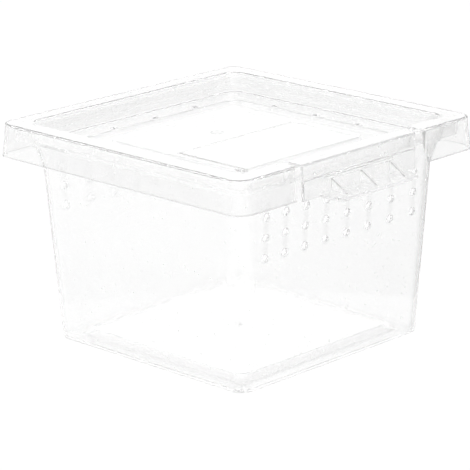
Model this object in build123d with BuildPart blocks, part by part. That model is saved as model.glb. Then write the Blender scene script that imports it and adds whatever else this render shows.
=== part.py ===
"""Clear square breeding box for small reptiles: a tapered tub, and a lid with a hinged feeding hatch.

The origin is the middle of the resting plane. +Z is up, and the hatch's latch is on the -Y side."""

import os

from build123d import *

# Overall sizes
lid_width = 205.0
base_width = 161.0
height = 138.0

# Tub
wall = 2.0
base_radius = 10.0
base_edge_round = 1.2
tub_top_radius = 13.0
straight_top_drop = 26.5
straight_top_inset = 4.9
throat_drop = 19.5
throat_inset = 3.3
mouth_drop = 9.0
mouth_clearance = 2.5
lip_top_flare = 1.0
flange_inset = 4.5
flange_lip_drop = 8.5
seat_gap = 0.15
hatch_gap = 0.3

# Raised floor over the recessed underside, which leaves a foot ring
foot_width = 9.5
foot_inner_radius = 9.0
floor_slope_run = 5.0
floor_rise = 6.0

# Lid
lid_wall = 1.8
lid_radius = 9.5
lid_edge_round = 1.2
skirt_depth = 20.5
skirt_flare = 1.9
skirt_bend_drop = 10.0
skirt_bend_flare = 0.5
skirt_radius_growth = 1.0
rim_width = 12.5
recess_radius = 9.5
recess_depth = 11.5
recess_draft = 4.0
recess_floor_round = 2.0

# Channel pressed into the recess floor, round the middle panel
ledge_width = 17.6
channel_width = 11.9
channel_radius = 9.0
channel_depth = 3.0
channel_floor_round = 0.7
channel_lip_round = 1.0
ridge_round = 1.4

# Vent holes
vent_diameter = 5.0
vent_rows = 3
vent_row_pitch = 12.5
vent_low_row_drop = 56.5
vent_columns = 8
vent_first_pitch = 16.5
vent_pitch_growth = 0.7
lid_vent_pitch = 35.5
lid_vent_inset = 14.2
lid_vents_per_side = 3

# Feeding hatch
hatch_half_width = 49.6
slit = 1.2
hinge_gap = 0.6
hinge_web = 0.5
notch_gap = 6.2
rim_end_round = 2.5
hatch_rim_drop = 1.0
hatch_rim_wall = 1.5
hatch_rim_reach = 6.5

# Latch at the front of the hatch
latch_inset = 1.6
latch_wall = 1.6
latch_edge_round = 1.2
latch_step_drop = 10.5
latch_step = 0.6
lip_inset = 13.6
lip_reach = 17.0
lip_radius = 7.0
lip_drop = 21.0
lip_thickness = 1.8
rib_count = 3
rib_pitch = 25.4
rib_thickness = 1.6
rib_height = 7.2
rib_reach = 12.0
bead_drop = 13.0
bead_radius = 1.0
bead_inset = 19.6

# Shallow rings that the moulding gates leave
gate_mark_radius = 4.2
gate_mark_width = 0.8
gate_mark_depth = 0.3
lid_gate_mark_y = 16.9

# Heights, worked out from the sizes above
lid_seat_z = height - lid_wall
flange_top_z = lid_seat_z - seat_gap
ledge_z = height - recess_depth
mouth_z = height - mouth_drop
throat_z = height - throat_drop
straight_top_z = height - straight_top_drop
skirt_bottom_z = height - skirt_depth
skirt_bend_z = height - skirt_bend_drop
hatch_top_z = height - hatch_rim_drop
hatch_seat_z = hatch_top_z - hatch_rim_wall
latch_step_z = height - latch_step_drop
lip_top_z = height - lip_drop
lip_bottom_z = lip_top_z - lip_thickness
bead_z = height - bead_drop
vent_low_row_z = height - vent_low_row_drop

# Distances from the middle, worked out from the sizes above
lid_top_half = lid_width / 2
skirt_bend_half = lid_top_half + skirt_bend_flare
skirt_bottom_half = lid_top_half + skirt_flare
recess_half = lid_top_half - rim_width
ledge_half = recess_half - recess_draft
channel_outer_half = ledge_half - ledge_width
channel_inner_half = channel_outer_half - channel_width
lid_vent_out = ledge_half - lid_vent_inset
base_half = base_width / 2
foot_inner_half = base_half - foot_width
floor_top_half = foot_inner_half - floor_slope_run
mouth_half = recess_half + mouth_clearance
throat_half = mouth_half - throat_inset
straight_top_half = mouth_half - straight_top_inset
flange_half = lid_top_half - flange_inset
latch_start_out = recess_half + hatch_rim_reach
latch_out = lid_top_half - latch_inset
lip_face_out = latch_out + latch_step
window_half = hatch_half_width + slit
notch_half_width = hatch_half_width + notch_gap
rim_round_x = notch_half_width + rim_end_round
rim_round_out = lid_top_half - rim_end_round
lip_half_width = hatch_half_width - lip_inset
bead_half_width = hatch_half_width - bead_inset
vent_steps = [vent_first_pitch + vent_pitch_growth * i for i in range(vent_columns - 1)]
vent_xs = [sum(vent_steps[:i]) - sum(vent_steps) / 2 for i in range(vent_columns)]
vent_zs = [vent_low_row_z + vent_row_pitch * i for i in range(vent_rows)]
lid_vent_ys = [lid_vent_pitch * (i - (lid_vents_per_side - 1) / 2) for i in range(lid_vents_per_side)]
past = 2 * skirt_bottom_half

os.makedirs("parts", exist_ok=True)


def squares(*sections):
    """Rounded squares to loft through, each given as half width, corner radius and height."""
    outlines = []
    for half, radius, height in sections:
        with BuildSketch(Plane.XY.offset(height)) as outline:
            RectangleRounded(2 * half, 2 * half, radius)
        outlines.append(outline.sketch)
    return outlines


def flat_face(moulding, height_above_base):
    """The level face nearest that height."""
    level_faces = moulding.faces().filter_by(Plane.XY)
    return min(level_faces, key=lambda face: abs(face.center().Z - height_above_base))


def reach_of(edge):
    """How far the edge's middle is from the X or Y axis, whichever is more."""
    return max(abs(edge.center().X), abs(edge.center().Y))


# Tub
with BuildPart() as tub:
    loft(squares(
        (base_half, base_radius, 0),
        (straight_top_half, tub_top_radius, straight_top_z),
        (throat_half, tub_top_radius, throat_z),
        (mouth_half, tub_top_radius, mouth_z),
        (mouth_half + lip_top_flare, tub_top_radius, flange_top_z),
    ), ruled=True)
    fillet(tub.edges().group_by(Axis.Z)[0], base_edge_round)
    # Flange that carries the lid, with its edge turned down
    with BuildSketch(Plane.XY.offset(flange_top_z)):
        RectangleRounded(2 * flange_half, 2 * flange_half, lid_radius)
    extrude(amount=-wall)
    with BuildSketch(Plane.XY.offset(flange_top_z)):
        RectangleRounded(2 * flange_half, 2 * flange_half, lid_radius)
        hollow_half = flange_half - wall
        RectangleRounded(2 * hollow_half, 2 * hollow_half, lid_radius - wall, mode=Mode.SUBTRACT)
    extrude(amount=-flange_lip_drop)
    loft(squares(
        (base_half - wall, base_radius - wall, wall),
        (straight_top_half - wall, tub_top_radius - wall, straight_top_z),
        (throat_half - wall, tub_top_radius - wall, throat_z),
        (mouth_half - wall, tub_top_radius - wall, mouth_z),
        (mouth_half + lip_top_flare - wall, tub_top_radius - wall, flange_top_z),
    ), ruled=True, mode=Mode.SUBTRACT)
    # Raised floor
    loft(squares(
        (foot_inner_half + wall, foot_inner_radius + wall, 0),
        (floor_top_half, foot_inner_radius, floor_rise),
    ), ruled=True)
    loft(squares(
        (foot_inner_half, foot_inner_radius, 0),
        (floor_top_half - wall, foot_inner_radius - wall, floor_rise - wall),
    ), ruled=True, mode=Mode.SUBTRACT)
    # Low stretch of flange under the hatch's front edge
    with BuildSketch(Plane.XY.offset(hatch_seat_z - hatch_gap)):
        with Locations((0, -recess_half - past / 2)):
            Rectangle(2 * notch_half_width, past)
    extrude(amount=past, mode=Mode.SUBTRACT)
    # Round gate mark in the middle of the floor
    with BuildSketch(Plane.XY.offset(floor_rise)):
        Circle(gate_mark_radius)
        Circle(gate_mark_radius - gate_mark_width, mode=Mode.SUBTRACT)
    extrude(amount=-gate_mark_depth, mode=Mode.SUBTRACT)
    # Vents through the front wall, and the same pattern turned half round through the back wall
    for wall_plane in (Plane.XZ, Plane((0, 0, 0), x_dir=(-1, 0, 0), z_dir=(0, 1, 0))):
        with BuildSketch(wall_plane):
            with Locations(*[(x, z) for x in vent_xs for z in vent_zs]):
                Circle(vent_diameter / 2)
        extrude(amount=past, mode=Mode.SUBTRACT)

# Whole lid moulding, before the hatch is slit out of it
with BuildPart() as lid_moulding:
    loft(squares(
        (skirt_bottom_half, lid_radius + skirt_radius_growth, skirt_bottom_z),
        (skirt_bend_half, lid_radius, skirt_bend_z),
        (lid_top_half, lid_radius, height),
    ), ruled=True)
    loft(squares(
        (skirt_bottom_half - lid_wall, lid_radius + skirt_radius_growth - lid_wall, skirt_bottom_z),
        (skirt_bend_half - lid_wall, lid_radius - lid_wall, skirt_bend_z),
        (lid_top_half - lid_wall, lid_radius - lid_wall, lid_seat_z),
    ), ruled=True, mode=Mode.SUBTRACT)
    # Tray sunk into the lid, with a channel in its floor
    loft(squares(
        (ledge_half + lid_wall, recess_radius, ledge_z - lid_wall),
        (recess_half + lid_wall, recess_radius + lid_wall, height),
    ), ruled=True)
    ridge_outer_half = channel_outer_half + lid_wall
    ridge_inner_half = channel_inner_half - lid_wall
    ridge_inner_radius = channel_radius - lid_wall
    with BuildSketch(Plane.XY.offset(ledge_z - lid_wall)):
        RectangleRounded(2 * ridge_outer_half, 2 * ridge_outer_half, channel_radius + lid_wall)
        RectangleRounded(2 * ridge_inner_half, 2 * ridge_inner_half, ridge_inner_radius, mode=Mode.SUBTRACT)
    extrude(amount=-channel_depth)
    loft(squares(
        (ledge_half, recess_radius - lid_wall, ledge_z),
        (recess_half, recess_radius, height),
    ), ruled=True, mode=Mode.SUBTRACT)
    fillet(lid_moulding.faces().filter_by(Plane.XY).sort_by(Axis.Z)[-1].edges(), lid_edge_round)
    fillet(flat_face(lid_moulding, ledge_z).edges(), recess_floor_round)
    with BuildSketch(Plane.XY.offset(ledge_z)):
        RectangleRounded(2 * channel_outer_half, 2 * channel_outer_half, channel_radius)
        RectangleRounded(2 * channel_inner_half, 2 * channel_inner_half, channel_radius, mode=Mode.SUBTRACT)
    extrude(amount=-channel_depth, mode=Mode.SUBTRACT)
    fillet(flat_face(lid_moulding, ledge_z - channel_depth).edges(), channel_floor_round)
    fillet(flat_face(lid_moulding, ledge_z - channel_depth - lid_wall).edges(), ridge_round)
    level_edges = lid_moulding.edges().filter_by_position(Axis.Z, ledge_z - 0.1, ledge_z + 0.1)
    fillet([edge for edge in level_edges if reach_of(edge) < ridge_outer_half], channel_lip_round)
    # Round gate mark behind the hinge
    with BuildSketch(Plane.XY.offset(ledge_z)):
        with Locations((0, lid_gate_mark_y)):
            Circle(gate_mark_radius)
            Circle(gate_mark_radius - gate_mark_width, mode=Mode.SUBTRACT)
    extrude(amount=-gate_mark_depth, mode=Mode.SUBTRACT)

# Lid: the moulding less the hatch's window and the notch in its front rim
with BuildPart() as lid:
    add(lid_moulding.part)
    with BuildSketch():
        with Locations((0, hinge_gap - past / 2)):
            Rectangle(2 * window_half, past)
        with Locations((0, -ledge_half - past / 2)):
            Rectangle(2 * notch_half_width, past)
        # The rim's two ends are rounded where the skirt meets the notch
        with Locations((0, -rim_round_out - past / 2)):
            Rectangle(2 * rim_round_x, past)
        with Locations(*[(side * rim_round_x, -rim_round_out) for side in (-1, 1)]):
            Circle(rim_end_round, mode=Mode.SUBTRACT)
    extrude(amount=past, mode=Mode.SUBTRACT)
    with BuildSketch():
        for turn in (0, 90, 180):
            side = Location((0, 0, 0), (0, 0, turn))
            with Locations(*[side * Location((lid_vent_out, y, 0)) for y in lid_vent_ys]):
                Circle(vent_diameter / 2)
    extrude(amount=past, mode=Mode.SUBTRACT)

# Feeding hatch: the strip of the moulding between the slits, with a thinner, lower front edge
with BuildPart() as feeding_hatch:
    add(lid_moulding.part)
    with BuildSketch():
        with Locations((0, -(latch_start_out + hinge_gap) / 2)):
            Rectangle(2 * hatch_half_width, latch_start_out - hinge_gap)
    extrude(amount=hatch_top_z, mode=Mode.INTERSECT)
    with BuildSketch(Plane.XY.offset(hatch_seat_z)):
        with Locations((0, -(latch_start_out + recess_half) / 2)):
            Rectangle(2 * hatch_half_width, latch_start_out - recess_half)
    extrude(amount=hatch_rim_wall)

# Thin web that the hatch folds on, moulded at the top face
with BuildPart() as hatch_hinge_web:
    with BuildSketch(Plane.XY.offset(ledge_z)):
        Rectangle(2 * hatch_half_width, 2 * hinge_gap)
    extrude(amount=-hinge_web)

# Latch: the hatch's turned-down front, with a finger lip on ribs outside and a snap bead inside
with BuildPart() as hatch_latch:
    with BuildSketch(Plane.YZ):
        with BuildLine():
            Polyline(
                (-latch_start_out, hatch_top_z),
                (-latch_out, hatch_top_z),
                (-latch_out, latch_step_z),
                (-lip_face_out, latch_step_z - latch_step),
                (-lip_face_out, lip_bottom_z),
                (-lip_face_out + latch_wall, lip_bottom_z),
                (-lip_face_out + latch_wall, latch_step_z - latch_step),
                (-latch_out + latch_wall, latch_step_z),
                (-latch_out + latch_wall, hatch_seat_z),
                (-latch_start_out, hatch_seat_z),
                close=True,
            )
        make_face()
    extrude(amount=hatch_half_width, both=True)
    fillet(hatch_latch.edges().filter_by(Axis.X).group_by(Axis.Z)[-1].sort_by(Axis.Y)[0], lid_edge_round)
    # Rounded upright edges
    with BuildSketch():
        RectangleRounded(2 * hatch_half_width, 2 * lip_face_out, latch_edge_round)
    extrude(amount=past, mode=Mode.INTERSECT)
    with BuildSketch(Plane.XY.offset(lip_bottom_z)):
        with Locations((0, -lip_face_out)):
            RectangleRounded(2 * lip_half_width, 2 * lip_reach, lip_radius)
        with Locations((0, -lip_face_out + latch_wall / 2 + lip_reach)):
            Rectangle(2 * lip_half_width, 2 * lip_reach, mode=Mode.SUBTRACT)
    extrude(amount=lip_thickness)
    for i in range(rib_count):
        rib_x = rib_pitch * (i - (rib_count - 1) / 2)
        with BuildSketch(Plane.YZ.offset(rib_x)):
            with BuildLine():
                Polyline(
                    (-lip_face_out, lip_top_z),
                    (-lip_face_out - rib_reach, lip_top_z),
                    (-lip_face_out, lip_top_z + rib_height),
                    close=True,
                )
            make_face()
        extrude(amount=rib_thickness / 2, both=True)
    with BuildSketch(Plane.YZ):
        with Locations((-lip_face_out + latch_wall, bead_z)):
            Circle(bead_radius)
    extrude(amount=bead_half_width, both=True)

tub.part.label = "tub"
export_step(tub.part, "parts/tub.step")
lid.part.label = "lid"
export_step(lid.part, "parts/lid.step")
feeding_hatch.part.label = "feeding_hatch"
export_step(feeding_hatch.part, "parts/feeding_hatch.step")
hatch_hinge_web.part.label = "hatch_hinge_web"
export_step(hatch_hinge_web.part, "parts/hatch_hinge_web.step")
hatch_latch.part.label = "hatch_latch"
export_step(hatch_latch.part, "parts/hatch_latch.step")
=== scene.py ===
"""Clear reptile breeding box on a pale table, seen from above its front left corner."""

import math

import bpy
from mathutils import Matrix, Vector

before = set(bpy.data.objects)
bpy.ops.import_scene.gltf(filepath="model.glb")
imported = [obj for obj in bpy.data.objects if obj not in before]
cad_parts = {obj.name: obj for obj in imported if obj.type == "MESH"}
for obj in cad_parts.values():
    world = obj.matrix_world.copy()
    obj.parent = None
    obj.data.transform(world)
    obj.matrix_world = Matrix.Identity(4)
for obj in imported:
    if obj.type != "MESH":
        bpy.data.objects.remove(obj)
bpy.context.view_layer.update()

# Camera, solved on the photograph
camera_azimuth = math.radians(-45.57)
camera_elevation = math.radians(16.79)
camera_roll = math.radians(-0.787)
camera_distance = 1.6473
camera_lens_mm = 201.9
camera_sensor_mm = 36
aim_right = -0.0027
aim_up = 0.0611

# Vent columns in the tub's front wall, from -X to +X, and the upright weld lines that join the vents
vent_first_pitch = 0.0165
vent_pitch_growth = 0.0007
vent_columns = 8
weld_line_low = 0.078
weld_line_high = 0.116
weld_line_half_width = 0.0017
weld_line_edge = 0.0005
weld_line_grey = 0.06
weld_line_height = 0.006

# Edges of the tub's vents, which are cloudier where the plastic was pierced
vent_wall_reach = 0.07
vent_edge_turn = 0.7
vent_edge_haze = 0.35
vent_edge_grey = 0.2

# Sloping edge of the raised floor, which gets painted shade where the table shades it
slope_in = 0.0655
slope_out = 0.0785
slope_top = 0.0058
slope_painted_shade = 0.09

# Rounded upright corners of the tub, which lean outwards with its walls, with a painted highlight down each
# and painted shade down the +X -Y one
corner_start_low = 0.0705
corner_start_rise = 0.037
corner_fade_in = 0.001
corner_fade_out = 0.002
corner_painted_highlight = 0.015
side_corner_painted_shade = 0.1

# Painted shade on the front wall towards +X, on the tub's flared top and on the lid's skirt
front_wall_y = -0.078
front_wall_clear_x = -0.08
front_wall_shaded_x = 0.09
front_wall_painted_shade = 0.03
flare_bottom = 0.1115
flare_fade = 0.002
flare_painted_shade = 0.008
skirt_start = 0.1005
skirt_fade = 0.001
lid_skirt_painted_shade = 0.02

# Lower edge of the skirt, which is darker, and painted shade along the slit on the hatch's -X side
skirt_edge_top = 0.1181
lid_edge_grey = 0.2
latch_edge_grey = 0.03
slit_x = -0.0502
slit_reach = 0.0018
slit_front_y = -0.08
slit_painted_shade = 0.25

# Side of the lid's recess towards +X, from the channel to the rim, with painted shade
recess_side_in = 0.055
recess_side_out = 0.0915
recess_corner_fade = 0.004
recess_side_painted_shade = 0.06

# Rounded channel in the lid, whose bent plastic is cloudier
channel_in = 0.0548
channel_out = 0.0702
channel_haze = 0.45

# Marks left by the moulding gates
gate_mark_radius = 0.0042
lid_gate_mark_y = 0.0169
floor_mark_grey = 0.3
lid_mark_grey = 0.1

# The tub's foot, cloudier where it wears on the table, with painted shade along its edge there
foot_top = 0.0015
foot_haze = 0.1
foot_painted_shade = 0.12

# Outlines, where the surface is seen at a glancing angle, get painted shade
glancing_start = 0.78
glancing_haze = 0.6
tub_outline_painted_shade = 0.4
lid_outline_painted_shade = 0.15

# How strongly clear plastic bends light, and how often light may bounce in the scene and in the plastic
plastic_ior = 1.49
light_bounces = 32
most_bounces = 8

# Uneven gloss
gloss_scale = 60
gloss_detail = 4
gloss_from = 0.3
gloss_to = 0.7
gloss_least = 0.8
gloss_most = 1.3

# Dull specks in the surface
speck_scale = 500
speck_detail = 2
speck_start = 0.66
speck_full = 0.72
speck_roughness = 0.2

# Cloudy tint
cloud_scale = 25
cloud_detail = 3
cloud_amount = 0.01

# Long flow waves in the walls
wave_scale = 18
wave_detail = 1
wave_height = 0.0006
wave_strength = 0.06

# Faces where the one moulding is split into pieces that move
latch_seam_y = -0.0965
hinge_seam_y = 0.0006
hinge_seam_low = 0.126
seam_touch = 0.00002
seam_facing = 0.9

# Table, and grey cards beside the box
table_size = 30
table_shade = 0.95
table_roughness = 0.9
card_distance = 0.165
card_half_length = 0.25
card_height = 0.3
right_card_grey = 0.35
left_card_grey = 0.6

# Soft light from all round, weaker from the front right
weak_side = (0.35, -0.85, 0.15)
weak_start = -0.1
weak_full = 0.9
light_strong = 1.2
light_weak = 0.82

scene = bpy.context.scene
scene.view_settings.view_transform = "Standard"
scene.cycles.max_bounces = light_bounces
scene.cycles.glossy_bounces = light_bounces
scene.cycles.transmission_bounces = light_bounces
scene.cycles.transparent_max_bounces = light_bounces


def add_camera():
    """The camera, aimed a little above the middle of the box's base and rolled slightly."""
    flat = math.cos(camera_elevation)
    toward_x = math.sin(camera_azimuth) * flat
    toward_y = -math.cos(camera_azimuth) * flat
    back = Vector((toward_x, toward_y, math.sin(camera_elevation)))
    level_right = Vector((math.cos(camera_azimuth), math.sin(camera_azimuth), 0))
    level_up = back.cross(level_right)
    right = level_right * math.cos(camera_roll) + level_up * math.sin(camera_roll)
    up = level_up * math.cos(camera_roll) - level_right * math.sin(camera_roll)
    place = right * aim_right + up * aim_up + back * camera_distance
    data = bpy.data.cameras.new("camera")
    data.lens = camera_lens_mm
    data.sensor_width = camera_sensor_mm
    camera = bpy.data.objects.new("camera", data)
    scene.collection.objects.link(camera)
    turn = Matrix((right, up, back)).transposed().to_4x4()
    camera.matrix_world = Matrix.Translation(place) @ turn
    scene.camera = camera


def new_material(name):
    """An empty node material, with its node tree and output."""
    material = bpy.data.materials.new(name)
    material.use_nodes = True
    material.node_tree.nodes.clear()
    output = material.node_tree.nodes.new("ShaderNodeOutputMaterial")
    return material, material.node_tree, output


def math_node(tree, operation, first, second=None):
    """A Math node's output. Each input is a socket or a number."""
    node = tree.nodes.new("ShaderNodeMath")
    node.operation = operation
    for socket, value in zip(node.inputs, (first, second)):
        if value is None:
            continue
        if isinstance(value, (int, float)):
            socket.default_value = value
        else:
            tree.links.new(value, socket)
    return node.outputs[0]


def times(tree, first, second):
    """The product of two values."""
    return math_node(tree, "MULTIPLY", first, second)


def size_of(tree, value):
    """The value without its sign."""
    return math_node(tree, "ABSOLUTE", value)


def above(tree, value, limit):
    """1 where the value is over the limit, else 0."""
    return math_node(tree, "GREATER_THAN", value, limit)


def below(tree, value, limit):
    """1 where the value is under the limit, else 0."""
    return math_node(tree, "LESS_THAN", value, limit)


def between(tree, value, low, high):
    """1 where the value lies between low and high, else 0."""
    return times(tree, above(tree, value, low), below(tree, value, high))


def near(tree, value, wanted, reach):
    """1 where the value is within reach of the wanted number, else 0."""
    return below(tree, size_of(tree, math_node(tree, "SUBTRACT", value, wanted)), reach)


def ramp(tree, value, start, end):
    """0 up to the start value, 1 from the end value on, and smooth between."""
    node = tree.nodes.new("ShaderNodeMapRange")
    node.interpolation_type = "SMOOTHSTEP"
    node.inputs["From Min"].default_value = start
    node.inputs["From Max"].default_value = end
    tree.links.new(value, node.inputs["Value"])
    return node.outputs["Result"]


def straight_range(tree, value, from_low, from_high, to_low, to_high):
    """The value, moved in a straight line from one range to another and held at its ends."""
    node = tree.nodes.new("ShaderNodeMapRange")
    node.inputs["From Min"].default_value = from_low
    node.inputs["From Max"].default_value = from_high
    node.inputs["To Min"].default_value = to_low
    node.inputs["To Max"].default_value = to_high
    tree.links.new(value, node.inputs["Value"])
    return node.outputs["Result"]


def noise(tree, coordinates, scale, detail):
    """Smooth noise that stays fixed to the piece."""
    node = tree.nodes.new("ShaderNodeTexNoise")
    node.inputs["Scale"].default_value = scale
    node.inputs["Detail"].default_value = detail
    tree.links.new(coordinates, node.inputs["Vector"])
    return node.outputs[0]


def axes_of(tree, vector):
    """The three numbers of a vector socket."""
    split = tree.nodes.new("ShaderNodeSeparateXYZ")
    tree.links.new(vector, split.inputs[0])
    return split.outputs


def farther_axis(tree, place):
    """How far a point is from the middle along X or Y, whichever is more."""
    return math_node(tree, "MAXIMUM", size_of(tree, place["X"]), size_of(tree, place["Y"]))


def nearer_axis(tree, place):
    """How far a point is from the middle along X or Y, whichever is less."""
    return math_node(tree, "MINIMUM", size_of(tree, place["X"]), size_of(tree, place["Y"]))


def darker(tree, shade, greys):
    """The shade, less each grey where its mask is 1. A grey below 0 makes it lighter."""
    for mask, grey in greys:
        shade = math_node(tree, "SUBTRACT", shade, times(tree, mask, grey))
    return shade


def seam_mask(tree, place, normal):
    """1 on the faces where hatch, web and latch meet in one moulding, where no surface shows."""
    along_y = above(tree, size_of(tree, normal["Y"]), seam_facing)
    latch = near(tree, place["Y"], latch_seam_y, seam_touch)
    hinge = near(tree, size_of(tree, place["Y"]), hinge_seam_y, seam_touch)
    hinge = times(tree, hinge, above(tree, place["Z"], hinge_seam_low))
    return times(tree, along_y, math_node(tree, "MAXIMUM", latch, hinge))


def weld_lines(tree, place):
    """1 along the upright strips where the plastic closed again behind each vent."""
    steps = [vent_first_pitch + vent_pitch_growth * i for i in range(vent_columns - 1)]
    # The back wall has the same pattern turned half round, so X is mirrored there
    side = math_node(tree, "SIGN", place["Y"])
    along = times(tree, times(tree, place["X"], side), -1)
    lines = None
    for i in range(vent_columns):
        column = sum(steps[:i]) - sum(steps) / 2
        off = size_of(tree, math_node(tree, "SUBTRACT", along, column))
        line = ramp(tree, off, weld_line_half_width + weld_line_edge, weld_line_half_width)
        lines = line if lines is None else math_node(tree, "MAXIMUM", lines, line)
    return times(tree, lines, between(tree, place["Z"], weld_line_low, weld_line_high))


def vent_edges(tree, place, normal):
    """1 on the walls of the vents in the tub, which face along the wall that they pierce."""
    sideways = below(tree, size_of(tree, normal["Y"]), vent_edge_turn)
    along_wall = below(tree, size_of(tree, place["X"]), vent_wall_reach)
    in_wall = above(tree, size_of(tree, place["Y"]), vent_wall_reach)
    height = between(tree, place["Z"], weld_line_low, weld_line_high)
    return times(tree, times(tree, sideways, times(tree, along_wall, in_wall)), height)


def floor_slope(tree, place):
    """1 on the sloping edge of the raised floor, which gets painted shade."""
    out = farther_axis(tree, place)
    return times(tree, between(tree, out, slope_in, slope_out), below(tree, place["Z"], slope_top))


def tub_corners(tree, place):
    """1 on the tub's rounded upright corners."""
    start = times(tree, place["Z"], corner_start_rise)
    into = math_node(tree, "SUBTRACT", nearer_axis(tree, place), start)
    return ramp(tree, into, corner_start_low - corner_fade_in, corner_start_low + corner_fade_out)


def gate_mark(tree, place, middle_y):
    """1 on the round mark that a moulding gate left."""
    along = math_node(tree, "POWER", place["X"], 2)
    across = math_node(tree, "POWER", math_node(tree, "SUBTRACT", place["Y"], middle_y), 2)
    radius = math_node(tree, "SQRT", math_node(tree, "ADD", along, across))
    return below(tree, radius, gate_mark_radius)


def tub_marks(tree, place, normal, shade, welds):
    """The tub's shade and haze, with its weld lines, vent edges, gate mark and foot wear, and painted shade
    and highlight.
    """
    foot = below(tree, place["Z"], foot_top)
    vents = vent_edges(tree, place, normal)
    corners = tub_corners(tree, place)
    front_right = times(tree, above(tree, place["X"], 0), below(tree, place["Y"], 0))
    front_wall = below(tree, place["Y"], front_wall_y)
    towards_x = ramp(tree, place["X"], front_wall_clear_x, front_wall_shaded_x)
    # Painted shade on the foot edge, floor slope, +X -Y corner, front wall towards +X and flared top, and a
    # painted highlight down the corners
    shade = darker(tree, shade, (
        (foot, foot_painted_shade),
        (vents, vent_edge_grey),
        (floor_slope(tree, place), slope_painted_shade),
        (welds, weld_line_grey),
        (corners, -corner_painted_highlight),
        (times(tree, corners, front_right), side_corner_painted_shade),
        (times(tree, front_wall, towards_x), front_wall_painted_shade),
        (ramp(tree, place["Z"], flare_bottom - flare_fade, flare_bottom + flare_fade), flare_painted_shade),
        (gate_mark(tree, place, 0), floor_mark_grey),
    ))
    haze = math_node(tree, "ADD", times(tree, foot, foot_haze), times(tree, vents, vent_edge_haze))
    return shade, haze


def lid_marks(tree, place, shade, channel, edge_grey):
    """The lid's shade and haze, with its channel, darker skirt edge and gate mark, and painted shade on the
    recess side, skirt and slit.
    """
    out = farther_axis(tree, place)
    recess_side = between(tree, place["X"], recess_side_in, recess_side_out)
    to_corner = math_node(tree, "SUBTRACT", place["X"], size_of(tree, place["Y"]))
    within = ramp(tree, to_corner, -recess_corner_fade, recess_corner_fade)
    slit = near(tree, place["X"], slit_x, slit_reach)
    slit_length = between(tree, place["Y"], slit_front_y, 0)
    # Painted shade on the skirt, the recess side towards +X and the slit
    shade = darker(tree, shade, (
        (ramp(tree, out, skirt_start - skirt_fade, skirt_start), lid_skirt_painted_shade),
        (times(tree, recess_side, within), recess_side_painted_shade),
        (gate_mark(tree, place, lid_gate_mark_y), lid_mark_grey),
        (below(tree, place["Z"], skirt_edge_top), edge_grey),
        (times(tree, slit, slit_length), slit_painted_shade),
    ))
    return shade, times(tree, channel, channel_haze)


def surface_roughness(tree, coordinates, roughness):
    """Uneven gloss, with fine specks where handling has dulled the surface."""
    patches = noise(tree, coordinates, gloss_scale, gloss_detail)
    least = roughness * gloss_least
    most = roughness * gloss_most
    gloss = straight_range(tree, patches, gloss_from, gloss_to, least, most)
    specks = ramp(tree, noise(tree, coordinates, speck_scale, speck_detail), speck_start, speck_full)
    return math_node(tree, "ADD", gloss, times(tree, specks, speck_roughness))


def flow_bump(tree, coordinates, welds):
    """Long flow waves in the walls, and the low ridges of the weld lines where there are any."""
    height = times(tree, noise(tree, coordinates, wave_scale, wave_detail), wave_height)
    if welds:
        height = math_node(tree, "ADD", height, times(tree, welds, weld_line_height))
    bump = tree.nodes.new("ShaderNodeBump")
    bump.inputs["Distance"].default_value = 1
    bump.inputs["Strength"].default_value = wave_strength
    tree.links.new(height, bump.inputs["Height"])
    return bump.outputs[0]


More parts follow.
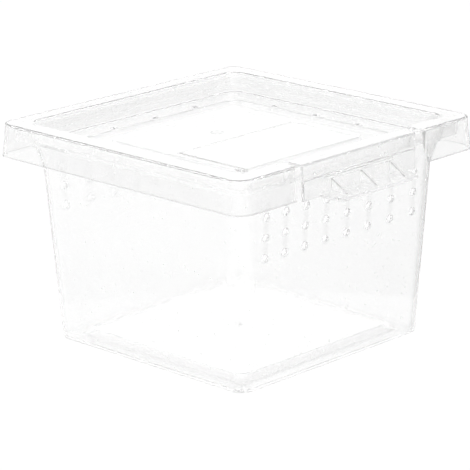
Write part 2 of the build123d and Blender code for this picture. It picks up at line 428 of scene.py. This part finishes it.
def clear_plastic(name, tint, roughness, clearness, tub=False, edge_grey=0):
    """Slightly milky moulded plastic that lets lamps through, with faint flow waves, fine wear, and painted
    shade and highlights.
    """
    material, tree, output = new_material(name)
    coordinates = tree.nodes.new("ShaderNodeTexCoord").outputs["Object"]
    place = axes_of(tree, coordinates)
    normal = axes_of(tree, tree.nodes.new("ShaderNodeNewGeometry").outputs["Normal"])
    plastic = tree.nodes.new("ShaderNodeBsdfPrincipled")
    plastic.inputs["IOR"].default_value = plastic_ior
    tree.links.new(surface_roughness(tree, coordinates, roughness), plastic.inputs["Roughness"])

    # Cloudy tint. Outlines get painted shade, and a glancing look also passes through more plastic
    clouds = times(tree, noise(tree, coordinates, cloud_scale, cloud_detail), 2 * cloud_amount)
    shade = math_node(tree, "ADD", clouds, tint - cloud_amount)
    facing = tree.nodes.new("ShaderNodeLayerWeight").outputs["Facing"]
    glance = ramp(tree, facing, glancing_start, 1)
    welds = weld_lines(tree, place) if tub else None
    if tub:
        shade, haze = tub_marks(tree, place, normal, shade, welds)
        shade = darker(tree, shade, ((glance, tub_outline_painted_shade),))
    else:
        channel = between(tree, farther_axis(tree, place), channel_in, channel_out)
        shade, haze = lid_marks(tree, place, shade, channel, edge_grey)
        # The channel's bends get no painted outline shade and stay as light as the rest of it
        glance = math_node(tree, "SUBTRACT", glance, times(tree, glance, channel))
        shade = darker(tree, shade, ((glance, lid_outline_painted_shade),))
    haze = math_node(tree, "ADD", haze, times(tree, glance, glancing_haze))
    clear = math_node(tree, "SUBTRACT", clearness, haze)
    tree.links.new(clear, plastic.inputs["Transmission Weight"])
    shade = math_node(tree, "MINIMUM", shade, 1)
    grey = tree.nodes.new("ShaderNodeCombineColor")
    for channel_name in ("Red", "Green", "Blue"):
        tree.links.new(shade, grey.inputs[channel_name])
    tree.links.new(grey.outputs[0], plastic.inputs["Base Color"])
    tree.links.new(flow_bump(tree, coordinates, welds), plastic.inputs["Normal"])

    # Lamps, trapped light and the seams of the moulding see no surface
    film = tree.nodes.new("ShaderNodeBsdfTransparent")
    path = tree.nodes.new("ShaderNodeLightPath")
    lamp_ray = math_node(tree, "MAXIMUM", path.outputs["Is Shadow Ray"], path.outputs["Is Diffuse Ray"])
    trapped = above(tree, path.outputs["Ray Depth"], most_bounces)
    through = math_node(tree, "MAXIMUM", lamp_ray, trapped)
    through = math_node(tree, "MAXIMUM", through, seam_mask(tree, place, normal))
    mix = tree.nodes.new("ShaderNodeMixShader")
    tree.links.new(through, mix.inputs[0])
    tree.links.new(plastic.outputs[0], mix.inputs[1])
    tree.links.new(film.outputs[0], mix.inputs[2])
    tree.links.new(mix.outputs[0], output.inputs["Surface"])
    return material


def studio_card(name, across, grey):
    """A card that stands beside the box, out of sight, so that the clear edges reflect something darker."""
    right = Vector((math.cos(camera_azimuth), math.sin(camera_azimuth), 0))
    forward = Vector((-math.sin(camera_azimuth), math.cos(camera_azimuth), 0))
    near_end = right * across - forward * card_half_length
    far_end = right * across + forward * card_half_length
    up = Vector((0, 0, card_height))
    mesh = bpy.data.meshes.new(name)
    mesh.from_pydata([near_end, far_end, far_end + up, near_end + up], [], [(0, 1, 2, 3)])
    card = bpy.data.objects.new(name, mesh)
    scene.collection.objects.link(card)
    material, tree, output = new_material(name)
    glow = tree.nodes.new("ShaderNodeEmission")
    glow.inputs["Color"].default_value = (grey, grey, grey, 1)
    tree.links.new(glow.outputs[0], output.inputs["Surface"])
    mesh.materials.append(material)
    card.visible_camera = False
    card.visible_diffuse = False
    card.visible_transmission = False
    card.visible_shadow = False


add_camera()

lid_plastic = clear_plastic("lid_plastic", tint=0.987, roughness=0.08, clearness=0.92, edge_grey=lid_edge_grey)
tub_plastic = clear_plastic("tub_plastic", tint=0.998, roughness=0.1, clearness=0.96, tub=True)
latch_plastic = clear_plastic(
    "latch_plastic", tint=0.992, roughness=0.12, clearness=0.84, edge_grey=latch_edge_grey
)
# The web is whitened by folding
web_plastic = clear_plastic("web_plastic", tint=0.85, roughness=0.3, clearness=0.6)
materials = {"tub": tub_plastic, "hatch_latch": latch_plastic, "hatch_hinge_web": web_plastic}
for name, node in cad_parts.items():
    node.data.materials.clear()
    node.data.materials.append(materials.get(name, lid_plastic))

# Pale table
bpy.ops.object.select_all(action="DESELECT")
bpy.ops.mesh.primitive_plane_add(size=table_size)
table = bpy.context.object
table.name = "table"
material, tree, output = new_material("pale_table")
paint = tree.nodes.new("ShaderNodeBsdfPrincipled")
paint.inputs["Base Color"].default_value = (table_shade, table_shade, table_shade, 1)
paint.inputs["Roughness"].default_value = table_roughness
paint.inputs["Specular IOR Level"].default_value = 0
tree.links.new(paint.outputs[0], output.inputs["Surface"])
table.data.materials.append(material)

studio_card("card_right", card_distance, right_card_grey)
studio_card("card_left", -card_distance, left_card_grey)

# Studio light
world = bpy.data.worlds.new("studio")
scene.world = world
world.use_nodes = True
tree = world.node_tree
direction = tree.nodes.new("ShaderNodeTexCoord")
towards = tree.nodes.new("ShaderNodeVectorMath")
towards.operation = "DOT_PRODUCT"
towards.inputs[1].default_value = Vector(weak_side).normalized()
tree.links.new(direction.outputs["Generated"], towards.inputs[0])
strength = straight_range(tree, towards.outputs["Value"], weak_start, weak_full, light_strong, light_weak)
sky = tree.nodes["Background"]
sky.inputs["Color"].default_value = (1, 1, 1, 1)
tree.links.new(strength, sky.inputs["Strength"])
